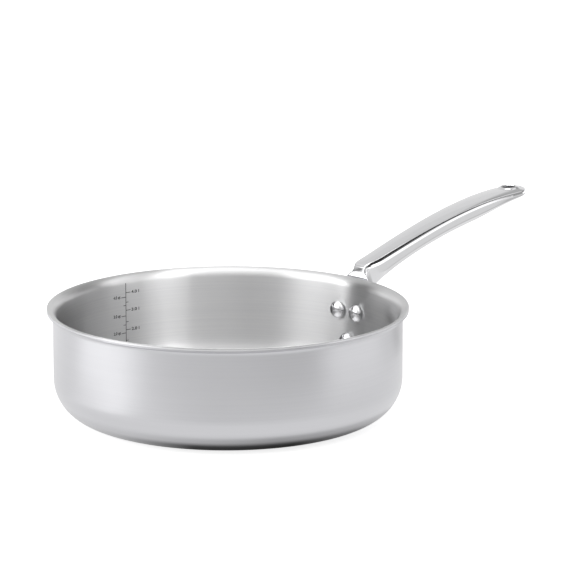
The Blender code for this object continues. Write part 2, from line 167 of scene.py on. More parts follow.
# Studio light. Each row starts at a sine of elevation, or at metres from the middle of the table, and
# holds its brightness round the pan, in degrees right of the camera's own side. The camera sees the table's
# grey and glow, the steel mirrors the table's rows, which are a painted shadow and painted light, and soft light
# bounces off its bare grey
studio = {
    "walls": (
        (-1.0, ((-180, 0.87), (-165, 0.87), (-161, 1.3), (-131, 2.1), (-101, 0.55), (-94, 0.6), (-93, 0.2),
                (-89.02, 0.05), (-88.75, 2.5), (-64, 2.5), (-34, 0.8), (11, 1.4), (41, 1.15), (71, 2.6), (79, 1.6),
                (86, 1.5), (89, 0.5), (100, 0.5), (104, 1.8), (131, 2.3), (161, 1.4), (165, 0.87), (180, 0.87))),
        (0.122, ((-180, 0.87), (-161, 0.87), (-152, 1.25), (-124, 1.67), (-109, 0.28), (-101, 0.05), (-92, 0.1),
                 (-89.4, 0.1), (-88.8, 0.35), (-88.4, 0.9), (-87.7, 0.95), (-85.5, 3.0), (-80, 2.7), (-56, 2.7),
                 (-34, 0.9), (-11, 0.6), (22, 0.95), (25, 0.3), (63, 0.1), (66, 2.7), (71, 2.7), (79, 1.6),
                 (86, 1.5), (89, 0.4), (100, 0.4), (104, 1.7), (116, 0.9), (146, 1.15), (165, 0.87), (180, 0.87))),
        (0.149, ((-180, 0.87), (-161, 0.87), (-152, 1.25), (-124, 1.67), (-109, 0.28), (-101, 0.05), (-94, 0.1),
                 (-92.5, 0.75), (-90.3, 0.75), (-89.8, 0.35), (-89.3, 0.12), (-88.4, 0.08), (-88.1, 0.35),
                 (-87.6, 0.5), (-87.2, 1.5), (-85.5, 3.0), (-80, 2.7), (-56, 2.7), (-34, 0.9), (-11, 0.6),
                 (22, 0.95), (25, 0.3), (63, 0.1), (66, 2.7), (71, 2.7), (79, 1.6), (86, 1.5), (89, 0.4),
                 (100, 0.4), (104, 1.7), (116, 0.9), (180, 0.87))),
        (0.259, ((-180, 0.87), (-146, 0.8), (-131, 1.08), (-109, 0.0), (-96, 0.0), (-94.5, 0.75), (-90.4, 0.7),
                 (-90.0, 0.1), (-89.3, 0.1), (-88.9, 0.5), (-88.2, 1.5), (-87.5, 3.2), (-82, 3.2), (-80, 2.7),
                 (-53, 2.7), (-34, 0.95), (-11, 0.65), (22, 1.0), (26, 0.3), (44, 0.3), (46, 0.05), (77, 0.05),
                 (80, 1.1), (86, 1.4), (89, 0.4), (101, 0.3), (116, 0.0), (158, 0.87), (180, 0.87))),
        (0.407, ((-180, 0.85), (-139, 0.87), (-116, 0.15), (-98, 0.85), (-94, 0.9), (-92, 3.6), (-83, 3.6),
                 (-81, 2.7), (-53, 2.7), (-34, 1.1), (26, 1.0), (38, 2.2), (46, 2.5), (49, 0.06), (89, 0.04),
                 (92, 0.5), (101, 0.76), (124, 0.28), (150, 0.55), (170, 0.5), (173, 0.85), (180, 0.85))),
        (0.616, ((-180, 0.8), (-124, 0.85), (-98, 1.0), (-94, 1.1), (-92, 3.6), (-83, 3.6), (-81, 2.7),
                 (-56, 2.6), (-34, 1.33), (34, 1.63), (49, 2.65), (64, 2.7), (66, 0.03), (99, 0.03), (102, 1.3),
                 (124, 0.9), (150, 0.45), (170, 0.45), (173, 0.8), (180, 0.8))),
        (0.788, ((-180, 0.78), (-131, 0.8), (-101, 1.84), (-90, 2.7), (-41, 1.37), (41, 1.83), (66, 2.3), (68, 0.03),
                 (112, 0.03), (116, 1.5), (161, 0.6), (180, 0.78))),
        (0.927, ((-180, 2.6), (180, 2.6))),
    ),
    "wallBlend": 0.02,
    # painted shadow and painted light on the table, seen only by the steel: black at the pan's foot, then brighter
    # and darker fields round the pan
    "table": (
        (0.0, ((-180, 0.0), (180, 0.0))),
        (0.116, ((-180, 0.9), (-75, 0.83), (-45, 0.6), (-12, 0.05), (26, 0.03), (56, 0.25), (86, 0.83), (180, 0.9))),
        (0.131, ((-180, 0.91), (-41, 0.81), (19, 0.46), (86, 0.7), (180, 0.91))),
        (0.142, ((-180, 0.95), (180, 0.95))),
        (0.200, ((-180, 1.0), (-94, 0.93), (-56, 1.34), (-41, 0.93), (-4, 0.8), (180, 1.0))),
        (0.320, ((-180, 1.07), (-101, 0.96), (-86, 1.44), (-64, 1.34), (-41, 0.8), (49, 0.63), (64, 1.03), (94, 1.05),
                 (105, 0.86), (117, 0.84), (121, 0.6), (129, 0.6), (133, 0.86), (180, 1.07))),
    ),
    "tableBlend": 0.008,
    "tableRadius": 5.0, "tableDrop": 0.0002, "tableGrey": "#b4b4b4", "tableGlow": 0.8, "tableBare": "#e8e8e8",
}


def aroundRamp(tree, place, stops):
    # brightness by direction round the pan, from a vector that points outwards
    facing = addNode(tree, "ShaderNodeMapping", {"vector_type": "POINT"}, {
        "Vector": place, "Rotation": (0, 0, -(turn + math.pi)),
    }).outputs[0]
    around = addNode(tree, "ShaderNodeTexGradient", {"gradient_type": "RADIAL"}, {"Vector": facing}).outputs["Fac"]
    ramp = addNode(tree, "ShaderNodeValToRGB", inputs={"Fac": around})
    fillRamp(ramp, [(degrees / 360 + 0.5, value) for degrees, value in stops])
    return ramp.outputs["Color"]


def stackedRamps(tree, place, measure, rows, blend):
    # one ramp above another along the measure, with soft borders
    light = None
    for start, stops in rows:
        row = aroundRamp(tree, place, stops)
        if light is None:
            light = row
            continue
        above = addNode(tree, "ShaderNodeMapRange", {"interpolation_type": "SMOOTHSTEP"}, {
            "Value": measure, "From Min": start - blend / 2, "From Max": start + blend / 2,
        }).outputs["Result"]
        light = addNode(tree, "ShaderNodeMix", {"data_type": "RGBA"}, {0: above, 6: light, 7: row}).outputs[2]
    return light


def makeWorld():
    # the camera itself sees plain white, and the steel sees the screens
    world = bpy.data.worlds.new("studio")
    bpy.context.scene.world = world
    world.use_nodes = True
    tree = world.node_tree
    tree.nodes.clear()
    place = addNode(tree, "ShaderNodeTexCoord").outputs["Generated"]
    height = addNode(tree, "ShaderNodeSeparateXYZ", inputs={0: place}).outputs["Z"]
    light = stackedRamps(tree, place, height, studio["walls"], studio["wallBlend"])
    seen = addNode(tree, "ShaderNodeLightPath").outputs["Is Camera Ray"]
    shown = addNode(tree, "ShaderNodeMix", {"data_type": "RGBA"}, {0: seen, 6: light, 7: (1, 1, 1, 1)})
    back = addNode(tree, "ShaderNodeBackground", inputs={"Color": shown.outputs[2], "Strength": 1.0})
    addNode(tree, "ShaderNodeOutputWorld", inputs={"Surface": back.outputs[0]})


# Softboxes for the cooking surface alone: they fill the sides where the handle has a dark screen to mirror.
# Each is so many degrees right of the camera's side and so many up, with its size in metres and its watts
fillDistance = 1.6
fillLights = (
    {"name": "lipFill", "side": 76, "up": 48, "width": 1.7, "tall": 1.3, "watts": 8.6},
    {"name": "leftWallFill", "side": 46, "up": 15, "width": 1.0, "tall": 0.56, "watts": 3.2},
    {"name": "rightWallFill", "side": -70, "up": 15, "width": 1.42, "tall": 0.56, "watts": 1.0},
    {"name": "edgeFill", "side": -89, "up": 15, "width": 0.22, "tall": 0.56, "watts": 0.9},
)


def makeFillLights(sheet):
    # lights that reach this one sheet, faced at the pan's middle
    lit = bpy.data.collections.new("litByFill")
    lit.objects.link(sheet)
    for fill in fillLights:
        side, up = math.radians(fill["side"]), math.radians(fill["up"])
        flat = viewRight * math.sin(side) - viewAway * math.cos(side)
        towards = flat * math.cos(up) + Vector((0, 0, math.sin(up)))
        light = bpy.data.lights.new(fill["name"], "AREA")
        light.shape = "RECTANGLE"
        light.size, light.size_y, light.energy = fill["width"], fill["tall"], fill["watts"]
        lamp = addObject(fill["name"], light)
        lamp.location = towards * fillDistance
        lamp.rotation_euler = towards.to_track_quat("Z", "Y").to_euler()
        lamp.visible_camera = False
        lamp.light_linking.receiver_collection = lit


def makeFloor():
    # matt white table. What the steel sees is a painted shadow, dark towards the pan's foot, and painted bright and
    # dark fields round the pan
    bm = bmesh.new()
    bmesh.ops.create_circle(bm, cap_ends=True, radius=studio["tableRadius"], segments=96)
    material, tree = newMaterial("whiteTableWithPaintedShadow")
    place = addNode(tree, "ShaderNodeTexCoord").outputs["Object"]
    out = addNode(tree, "ShaderNodeVectorMath", {"operation": "LENGTH"}, {0: place}).outputs["Value"]
    light = stackedRamps(tree, place, out, studio["table"], studio["tableBlend"])
    path = addNode(tree, "ShaderNodeLightPath")
    shiny = addNode(tree, "ShaderNodeMath", {"operation": "MAXIMUM"}, {
        0: path.outputs["Is Glossy Ray"], 1: path.outputs["Is Transmission Ray"],
    }).outputs[0]
    camera = path.outputs["Is Camera Ray"]
    # painted shadow and painted light: the table's rows glow for glossy rays, black at the pan's foot
    paintedShadowAndLight = addNode(tree, "ShaderNodeEmission", inputs={"Color": light})
    bare = addNode(tree, "ShaderNodeBsdfDiffuse", inputs={"Color": linear(studio["tableBare"])})
    matt = addNode(tree, "ShaderNodeBsdfDiffuse", inputs={"Color": linear(studio["tableGrey"])})
    white = addNode(tree, "ShaderNodeEmission", inputs={
        "Color": (*[studio["tableGlow"]] * 3, 1), "Strength": camera,
    })
    table = addNode(tree, "ShaderNodeAddShader", inputs={0: matt.outputs[0], 1: white.outputs[0]})
    seen = addNode(tree, "ShaderNodeMixShader", inputs={0: camera, 1: bare.outputs[0], 2: table.outputs[0]})
    both = addNode(tree, "ShaderNodeMixShader", inputs={0: shiny, 1: seen.outputs[0], 2: paintedShadowAndLight.outputs[0]})
    addNode(tree, "ShaderNodeOutputMaterial", inputs={"Surface": both.outputs[0]})
    floor = looseObject("table", bm)
    floor.data.materials.append(material)
    floor.location.z = -studio["tableDrop"]                  # clear of the pan's own base


# Spun body of three bonded sheets, in metres. Each sheet lies between two depths, measured outwards from the
# cooking surface
body = {
    "innerRadius": 0.140, "height": 0.0906, "wall": 0.0029,
    "cornerRadius": 0.0294, "lipRadius": 0.0048,
    "innerSkin": (0.0, 0.00055), "coreSheet": (0.00065, 0.00225), "outerSkin": (0.00235, 0.0029),
    "baseRings": (0.0, 0.012, 0.035, 0.065, 0.095), "edgeSoftening": 0.00014,
    "spinSteps": 288, "cornerSteps": 16, "wallSteps": 6, "lipSteps": 14,
}


def spun(bm, profile, steps):
    # turns a row of vertices right round the upright axis
    line = [bm.edges.new(pair) for pair in zip(profile, profile[1:])]
    bmesh.ops.spin(bm, geom=profile + line, cent=(0, 0, 0), axis=(0, 0, 1), angle=2 * math.pi,
                   steps=steps, use_merge=True, use_duplicate=False)
    bmesh.ops.remove_doubles(bm, verts=bm.verts, dist=1e-6)


def turnedSheet(name, depths, material):
    # base, corner, wall and rolled lip, spun in one, with a UV that runs round the pan and out and up
    near, far = depths
    cornerX = body["innerRadius"] - body["cornerRadius"]
    cornerZ = body["wall"] + body["cornerRadius"]
    lipR = body["lipRadius"] + body["wall"]
    lipX = body["innerRadius"] + lipR
    lipZ = body["height"] - lipR

    def surface(depth):
        radius = body["cornerRadius"] + depth
        points = [(r, body["wall"] - depth) for r in body["baseRings"]]
        for i in range(body["cornerSteps"] + 1):
            a = math.radians(-90 + 90 * i / body["cornerSteps"])
            points.append((cornerX + radius * math.cos(a), cornerZ + radius * math.sin(a)))
        rise, count = lipZ - cornerZ, body["wallSteps"]
        points += [(body["innerRadius"] + depth, cornerZ + rise * i / count) for i in range(1, count)]
        for i in range(body["lipSteps"] + 1):
            a = math.radians(180 - 90 * i / body["lipSteps"])
            points.append((lipX + (lipR - depth) * math.cos(a), lipZ + (lipR - depth) * math.sin(a)))
        return points

    bm = bmesh.new()
    profile = [bm.verts.new((r, 0, z)) for r, z in surface(near) + surface(far)[::-1]]
    spun(bm, profile, body["spinSteps"])
    cut = [e for e in bm.edges if all(abs(v.co.xy.length - lipX) < 1e-5 for v in e.verts)
           and abs(e.verts[0].co.z - e.verts[1].co.z) < 1e-6]
    bmesh.ops.bevel(bm, geom=cut, offset=body["edgeSoftening"], segments=2, profile=0.5, affect="EDGES", material=-1)
    wrap = bm.loops.layers.uv.new("aroundAndUp")
    for face in bm.faces:
        middle = face.calc_center_median()
        home = math.atan2(middle.y, middle.x)
        for loop in face.loops:
            x, y, z = loop.vert.co
            angle = math.atan2(y, x) if math.hypot(x, y) > 1e-5 else home
            angle += 2 * math.pi * round((home - angle) / (2 * math.pi))
            loop[wrap].uv = (angle / (2 * math.pi), math.hypot(x, y) + z)
    return finished(name, bm, material, 40)


def spunSteel(name, look):
    # steel or aluminium, brushed, satin-blasted or ground as it turned: the sheen is drawn out across the
    # lines, and faint lines run round the pan
    material, tree = newMaterial(name)
    place = addNode(tree, "ShaderNodeTexCoord")
    spot = addNode(tree, "ShaderNodeSeparateXYZ", inputs={0: place.outputs["Object"]})
    up = addNode(tree, "ShaderNodeSeparateXYZ", inputs={0: place.outputs["UV"]}).outputs["Y"]
    lines = addNode(tree, "ShaderNodeCombineXYZ", inputs={"X": spot.outputs["X"], "Y": spot.outputs["Y"]})
    across = addNode(tree, "ShaderNodeMath", {"operation": "MULTIPLY"}, {0: up, 1: look["lineStretch"]}).outputs[0]
    tree.links.new(across, lines.inputs["Z"])
    fine = addNode(tree, "ShaderNodeTexNoise", inputs={
        "Vector": lines.outputs[0], "Scale": look["lineScale"], "Detail": 4.0, "Roughness": 0.65,
    }).outputs["Fac"]
    broad = addNode(tree, "ShaderNodeTexNoise", inputs={
        "Vector": lines.outputs[0], "Scale": look["lineScale"] * look["broadShare"], "Detail": 2.0, "Roughness": 0.5,
    }).outputs["Fac"]
    rough = addNode(tree, "ShaderNodeMapRange", inputs={
        "Value": fine, "From Min": 0.3, "From Max": 0.7,
        "To Min": look["roughness"] - look["roughSpread"], "To Max": look["roughness"] + look["roughSpread"],
    }).outputs["Result"]
    tone = addNode(tree, "ShaderNodeMapRange", inputs={"Value": broad, "From Min": 0.3, "From Max": 0.7})
    colour = addNode(tree, "ShaderNodeMix", {"data_type": "RGBA"}, {
        0: tone.outputs["Result"], 6: linear(look["dark"]), 7: linear(look["light"]),
    }).outputs[2]
    bump = addNode(tree, "ShaderNodeBump", inputs={
        "Strength": look["bump"], "Distance": look["lineDepth"], "Height": fine,
    }).outputs[0]
    drawn = addNode(tree, "ShaderNodeTangent", {"direction_type": "UV_MAP", "uv_map": "aroundAndUp"}).outputs[0]
    steel = addNode(tree, "ShaderNodeBsdfPrincipled", inputs={
        "Base Color": colour, "Metallic": 1.0, "Roughness": rough, "Anisotropic": look["drawnOut"],
        "Anisotropic Rotation": 0.25, "Normal": bump, "Tangent": drawn,
    })
    addNode(tree, "ShaderNodeOutputMaterial", inputs={"Surface": steel.outputs[0]})
    return material


def makeBody():
    inside = spunSteel("brushedStainlessInside", {
        "light": "#cecece", "dark": "#c9c9ca", "roughness": 0.32, "roughSpread": 0.01, "drawnOut": 1.0,
        "lineScale": 20.0, "broadShare": 0.22, "lineStretch": 240.0, "bump": 0.04, "lineDepth": 0.00002,
    })
    outside = spunSteel("satinStainlessOutside", {
        "light": "#d1d1d4", "dark": "#cfcfd2", "roughness": 0.28, "roughSpread": 0.006, "drawnOut": 0.1,
        "lineScale": 16.0, "broadShare": 0.22, "lineStretch": 220.0, "bump": 0.03, "lineDepth": 0.00002,
    })
    core = spunSteel("groundAluminiumCore", {
        "light": "#dcdcde", "dark": "#cfcfd2", "roughness": 0.38, "roughSpread": 0.04, "drawnOut": 0.3,
        "lineScale": 16.0, "broadShare": 0.22, "lineStretch": 160.0, "bump": 0.1, "lineDepth": 0.00002,
    })
    for name, material, node, slot in (
        ("innerSkin", inside, "inner_ply", "cooking_surface"),
        ("coreSheet", core, "core_ply", "core"),
        ("outerSkin", outside, "outer_ply", "outside"),
    ):
        sheet = turnedSheet(name, body[name], material)
        if name == "innerSkin":
            makeFillLights(sheet)
        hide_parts(node)
    print("body: three spun sheets")


# Solid rivets, in metres: the head is inside the pan and the tail is set down on the handle's pad.
# The dome and the tail start at an angle in degrees above their flat sides
rivet = {
    "headRadius": 0.0074, "headHeight": 0.0042, "headEdge": 0.0006, "edgeRound": 0.0005, "headSeat": 0.1394,
    "domeInset": 0.0001, "domeStart": 6, "shankRadius": 0.0031,
    "tailRadius": 0.0047, "tailHeight": 0.0021, "tailSeat": 0.1466,
    "tailEdge": 0.0002, "tailStart": 8, "tailSide": 0.25, "tailFullness": 0.8,
    "pairSpacing": 0.0217, "upperHeight": 0.0626, "lowerHeight": 0.0365, "wallOutside": 0.1429,
    "domeSteps": 14, "tailSteps": 8, "spinSteps": 64,
}


def polishedSteel(name, look):
    # cast or forged stainless, buffed to a mirror: near-black and white reflections, with faint buffing haze
    material, tree = newMaterial(name)
    place = addNode(tree, "ShaderNodeTexCoord").outputs["Object"]
    haze = addNode(tree, "ShaderNodeTexNoise", inputs={
        "Vector": place, "Scale": look["hazeScale"], "Detail": 3.0, "Roughness": 0.6,
    }).outputs["Fac"]
    rough = addNode(tree, "ShaderNodeMapRange", inputs={
        "Value": haze, "From Min": 0.3, "From Max": 0.7,
        "To Min": look["roughness"] * 0.8, "To Max": look["roughness"] * 1.25,
    }).outputs["Result"]
    colour = addNode(tree, "ShaderNodeMix", {"data_type": "RGBA"}, {
        0: haze, 6: linear(look["light"]), 7: linear(look["dark"]),
    }).outputs[2]
    steel = addNode(tree, "ShaderNodeBsdfPrincipled", inputs={
        "Base Color": colour, "Metallic": 1.0, "Roughness": rough,
    })
    addNode(tree, "ShaderNodeOutputMaterial", inputs={"Surface": steel.outputs[0]})
    return material


def makeRivets():
    # each profile is spun upright, then laid down to point at the pan's middle
    material = polishedSteel("buffedStainlessRivet", {
        "light": "#e4e4e5", "dark": "#dadadc", "roughness": 0.025, "hazeScale": 300.0,
    })
    half = math.asin(rivet["pairSpacing"] / 2 / rivet["wallOutside"])
    places = {
        "rivet_upper_left": (half, rivet["upperHeight"]),
        "rivet_upper_right": (-half, rivet["upperHeight"]),
        "rivet_lower": (0.0, rivet["lowerHeight"]),
    }
    head, edge, rim = rivet["headRadius"], rivet["headEdge"], rivet["edgeRound"]
    seat = -rivet["headSeat"]
    tail = -rivet["tailSeat"]
    outline = []
    start, count = rivet["domeStart"], rivet["domeSteps"]
    for i in range(count + 1):                              # dome
        a = math.radians(90 - (90 - start) * i / count)
        outline.append(((head - rivet["domeInset"]) * math.cos(a) / math.cos(math.radians(start)),
                        seat + edge + rivet["headHeight"] * math.sin(a)))
    outline += [(head, seat + edge), (head, seat + 0.2 * rim), (head - 0.3 * rim, seat)]
    outline += [(rivet["shankRadius"], seat), (rivet["shankRadius"], tail)]
    foot, bevel, side = rivet["tailRadius"], rivet["tailEdge"], rivet["tailSide"]
    outline += [(foot - bevel, tail), (foot, tail - bevel)]
    start, count = rivet["tailStart"], rivet["tailSteps"]
    for i in range(count + 1):                              # set-down tail
        a = math.radians(start + (90 - start) * i / count)
        outline.append((foot * math.cos(a) ** rivet["tailFullness"],
                        tail - rivet["tailHeight"] * (side + (1 - side) * math.sin(a))))
    outline[-1] = (0.0, outline[-1][1])                     # both ends exactly on the rivet's axis
    outline[0] = (0.0, outline[0][1])
    for node, (angle, z) in places.items():
        bm = bmesh.new()
        spun(bm, [bm.verts.new((r, 0, h)) for r, h in outline], rivet["spinSteps"])
        stand = Matrix.Translation((0, 0, z)) @ Matrix.Rotation(angle, 4, "Z") @ Matrix.Rotation(-math.pi / 2, 4, "Y")
        bmesh.ops.transform(bm, matrix=stand, verts=bm.verts)
        piece = finished("dressed_" + node, bm, material, 50)
        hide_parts(node)
    print("rivets: three, domed inside and set down outside")


# Cast handle, in metres, with its slopes, its shoulder's turns and the eye's flare in degrees. Pulls, shares
# and places along the grip have no unit
handle = {
    "outerRadius": 0.1429, "padInner": 0.1432, "padThickness": 0.0032, "padMargin": 0.0095, "padRound": 0.0009,
    "rootX": 0.14464, "plateZ": 0.0696, "ribZ": 0.0453, "plateRun": 0.00706, "rootHalfWidth": 0.0170,
    "plateThickness": 0.0050, "ribHalfWidth": 0.0050, "neckCrown": 0.006, "rootFillet": 0.0026,
    "startOut": 0.0221, "startRise": 0.0140, "startSlope": 16.8, "startPull": 0.282,
    "reach": 0.2146, "tipRise": 0.0499, "tipSlope": -2.8, "tipPull": 0.334,
    "startHalf": 0.0100, "endHalf": 0.0143, "thickness": 0.0163, "rootSwell": 0.0056, "tipThickness": 0.0077,
    "endRound": 0.0138, "crown": 0.12, "ridgeDepth": 0.66, "ridgeWidth": 0.94, "soleWidth": 0.52,
    "widestAt": 0.87, "thinningStart": 0.62, "thinningEnd": 1.08, "noseShare": 0.82,
    "shoulderTurns": (62, 82, 93), "shoulderTight": 0.0015, "shoulderSlow": 0.0122, "shoulderSlim": 0.45,
    "shoulderDrop": 0.0031, "shoulderWidth": 0.0018, "edgeIn": 0.0001, "edgeDrop": 0.0006, "edgeRound": 0.0010,
    "ridgeClear": 0.0008, "ridgeRound": 0.0030, "soleRound": 0.0026,
    "noseRound": 0.0020, "noseUnder": 0.8, "swellFade": 6,
    "eyeHalfLength": 0.0068, "eyeHalfWidth": 0.0056, "eyeFromTip": 0.0158,
    "eyeRimWidth": 0.0012, "eyeRimFlank": 0.0030, "eyeRimHeight": 0.0011, "eyeRound": 0.0010,
    "eyeZone": 0.02, "eyeZoneDepth": 0.0032, "eyeFlare": 78, "plugReach": 0.0030,
    "padBevel": 0.0002, "padShares": (0.25, 0.55, 0.8), "padSteps": 96, "eyeSteps": 72,
    "neckSteps": 8, "gripSteps": 78, "endSteps": 44, "tipPlace": 0.9995, "easePasses": 6, "easeReach": 8,
}
# One row for each section of the neck, from the pad to the grip: how far its front, then its back, has come
# out and up, and its width, plate, rib and foot, all as shares of the handle's own sizes
neckRows = (
    (0.00, 0.00, 0.00, 0.000, 1.000, 1.4, 1.15, 1.00),
    (0.53, 0.16, 0.19, 0.200, 0.940, 1.2, 1.00, 0.80),
    (0.82, 0.39, 0.40, 0.440, 0.900, 1.0, 1.00, 0.80),
    (0.97, 0.58, 0.56, 0.630, 0.800, 1.0, 1.30, 0.85),
    (1.105, 0.72, 0.69, 0.755, 0.480, 1.3, 1.50, 0.90),
    (1.33, 0.85, 0.80, 0.850, 0.465, 1.6, 1.50, 0.90),
    (1.85, 0.94, 0.90, 0.928, 0.520, 1.9, 1.55, 0.90),
)


def gripTop(t):
    # point on the grip's top line, as (out, up), from the neck at 0 to the tip at 1
    h = handle
    start = Vector((h["outerRadius"] + h["startOut"], body["height"] + h["startRise"]))
    tip = Vector((h["outerRadius"] + h["reach"], body["height"] + h["tipRise"]))
    run = h["reach"] - h["startOut"]
    rise, fall = math.radians(h["startSlope"]), math.radians(h["tipSlope"])
    first = start + Vector((math.cos(rise), math.sin(rise))) * run * h["startPull"]
    last = tip - Vector((math.cos(fall), math.sin(fall))) * run * h["tipPull"]
    s = 1 - t
    return s**3 * start + 3 * s * s * t * first + 3 * s * t * t * last + t**3 * tip


def gripStation(t):
    # one section: its top and sole points, half width, crown, the ridge's depth and half width, the sole's
    # half width, and how far along the grip it is
    h = handle
    top = gripTop(t)
    along = (gripTop(t + 0.001) - gripTop(t - 0.001)).normalized()
    share = (top.x - h["outerRadius"] - h["startOut"]) / (h["reach"] - h["startOut"])
    half = h["startHalf"] + (h["endHalf"] - h["startHalf"]) * min(share / h["widestAt"], 1.0)
    intoEnd = max((top.x - h["outerRadius"] - h["reach"] + h["endRound"]) / h["endRound"], 0.0)
    rounding = math.sqrt(max(1 - intoEnd**2, 0.0))
    half *= rounding
    thick = h["thickness"] + h["rootSwell"] * (1 - share) ** h["swellFade"]
    thick += (h["tipThickness"] - thick) * smoothStep(h["thinningStart"], h["thinningEnd"], share)
    thick *= h["noseShare"] + (1 - h["noseShare"]) * rounding
    # the nose rolls over and under as well as round
    left = h["outerRadius"] + h["reach"] - top.x
    rolled = max(1 - left / h["noseRound"], 0.0)
    roll = h["noseRound"] * (1 - math.sqrt(max(1 - rolled**2, 0.0)))
    down = Vector((along.y, -along.x))
    sole = top + down * (thick - h["noseUnder"] * roll)
    top = top + down * roll
    depth = thick - (1 + h["noseUnder"]) * roll
    return [top.x, top.y, sole.x, sole.y, half, h["crown"] * half, h["ridgeDepth"] * depth,
            h["ridgeWidth"] * half, h["soleWidth"] * half, share]


def neckStations():
    # the neck's sections, in the same form as the grip's
    h = handle
    grip = gripStation(0.0)
    found = []
    for frontOut, frontUp, backOut, backUp, width, plate, rib, foot in neckRows:
        half = h["rootHalfWidth"] * width
        found.append([
            h["rootX"] + h["plateRun"] * frontOut, h["plateZ"] + (grip[1] - h["plateZ"]) * frontUp,
            h["rootX"] + (grip[2] - h["rootX"]) * backOut, h["ribZ"] + (grip[3] - h["ribZ"]) * backUp,
            half, h["neckCrown"] * half, h["plateThickness"] * plate,
            h["ribHalfWidth"] * rib, h["ribHalfWidth"] * foot, 0.0,
        ])
    return found


def smoothBetween(rows, steps):
    # smooth curve through the rows, with the first and last repeated as its guides
    guided = [rows[0]] + rows + [rows[-1]]
    found = []
    for a, b, c, d in zip(guided, guided[1:], guided[2:], guided[3:]):
        for i in range(steps):
            t = i / steps
            found.append([
                (2 * q + (r - p) * t + (2 * p - 5 * q + 4 * r - s) * t**2 + (3 * q - p - 3 * r + s) * t**3) / 2
                for p, q, r, s in zip(a, b, c, d)
            ])
    return found


def rounded(before, corner, after, radius, steps):
    # points along a fillet at a corner of an outline, kept inside its two sides
    inward = (before - corner).normalized()
    outward = (after - corner).normalized()
    half = inward.angle(outward, math.pi) / 2
    reach = min(radius / max(math.tan(half), 1e-6), 0.45 * (before - corner).length, 0.45 * (after - corner).length)
    start, end = corner + inward * reach, corner + outward * reach
    return [(start * (1 - t) + corner * t) * (1 - t) + (corner * (1 - t) + end * t) * t
            for t in (i / steps for i in range(steps + 1))]


def castSection(station):
    # half outline as (across, down), from the middle of the top to the middle of the sole. The shoulder turns
    # down in three arcs, tight, slow and tight, made smaller where the section is too low or narrow for them
    topX, topZ, soleX, soleZ, half, crown, ridgeDrop, ridgeHalf, soleHalf, share = station
    h = handle
    thick = math.hypot(soleX - topX, soleZ - topZ)
    slow = h["shoulderSlow"] * (1 - h["shoulderSlim"] * smoothStep(0.0, 0.6, share))
    tight = h["shoulderTight"]
    scale = min(1.0, 0.40 * ridgeDrop / h["shoulderDrop"], 0.45 * half / h["shoulderWidth"])
    lean = math.atan(2 * crown / max(half - h["shoulderWidth"] * scale, 1e-5))
    first, second, third = (math.radians(a) for a in h["shoulderTurns"])
    turns = ((lean, first, tight * scale, 7), (first, second, slow * scale, 7), (second, third, tight * scale, 3))
    flat = half - sum(r * (math.sin(b) - math.sin(a)) for a, b, r, n in turns)
    line = [Vector((flat * i / 20, crown * (i / 20) ** 2)) for i in range(21)]
    for a, b, r, n in turns:
        start = line[-1]
        for i in range(1, n + 1):
            p = a + (b - a) * i / n
            line.append(start + Vector((math.sin(p) - math.sin(a), math.cos(a) - math.cos(p))) * r)
    edge = line[-1] + Vector((-h["edgeIn"], h["edgeDrop"])) * scale
    ridge = Vector((ridgeHalf, max(ridgeDrop, edge.y + h["ridgeClear"] * scale)))
    sole = Vector((soleHalf, thick))
    line += rounded(line[-1], edge, ridge, h["edgeRound"] * scale, 4)
    line += rounded(edge, ridge, sole, h["ridgeRound"] * scale, 8)
    line += rounded(ridge, sole, Vector((0, thick)), h["soleRound"] * scale, 8)
    inner = line[-1].x
    line += [Vector((inner * (1 - i / 7), thick)) for i in range(1, 8)]
    return line


def sectionRing(station):
    # the whole section stood in its place, with a fillet where it meets the pad
    line = castSection(station)
    outline = line + [Vector((-p.x, p.y)) for p in line[-2:0:-1]]
    top = Vector((station[0], station[1]))
    down = (Vector((station[2], station[3])) - top).normalized()
    ring = []
    padFace = handle["padInner"] + handle["padThickness"]
    for i, p in enumerate(outline):
        x = top.x + down.x * p.y
        near = max(1 - max(x - padFace, 0) / handle["rootFillet"], 0.0)
        if near > 0:
            side = outline[(i + 1) % len(outline)] - outline[i - 1]
            swell = handle["rootFillet"] * (1 - math.sqrt(max(1 - near**2, 0.0)))
            p = p + Vector((side.y, -side.x)).normalized() * swell
        ring.append(Vector((top.x + down.x * p.y, p.x, top.y + down.y * p.y)))
    return ring


def eyeFrame():
    # middle of the hanging eye on the top line, and the directions along the grip and up from it
    centre = handle["outerRadius"] + handle["reach"] - handle["eyeFromTip"]
    t = next(i / 2000 for i in range(2001) if gripTop(i / 2000).x >= centre)
    spot = gripTop(t)
    along = (gripTop(t + 0.001) - gripTop(t - 0.001)).normalized()
    return Vector((spot.x, 0, spot.y)), Vector((along.x, 0, along.y)), Vector((-along.y, 0, along.x))


def raiseEyeRim(verts):
    # lifts the top round the eye into a low flat rim with soft flanks
    h = handle
    spot, along, up = eyeFrame()
    for vert in verts:
        offset = vert.co - spot
        run, height = offset.dot(along), offset.dot(up)
        if abs(run) > h["eyeZone"] or height < -h["eyeZoneDepth"]:
            continue
        oval = math.hypot(run / h["eyeHalfLength"], vert.co.y / h["eyeHalfWidth"])
        beyond = (oval - 1) * (h["eyeHalfLength"] + h["eyeHalfWidth"]) / 2
        lift = 1 - smoothStep(h["eyeRimWidth"], h["eyeRimWidth"] + h["eyeRimFlank"], beyond)
        vert.co += up * (h["eyeRimHeight"] - height) * lift


def lofted(bm, rings):
    # joins each ring of points to the next, point by point, and closes both ends
    rows = [[bm.verts.new(p) for p in ring] for ring in rings]
    for near, far in zip(rows, rows[1:]):
        for i in range(len(near)):
            bm.faces.new((near[i - 1], near[i], far[i], far[i - 1]))
    bm.faces.new(rows[0])
    bm.faces.new(rows[-1])
    bmesh.ops.recalc_face_normals(bm, faces=bm.faces)


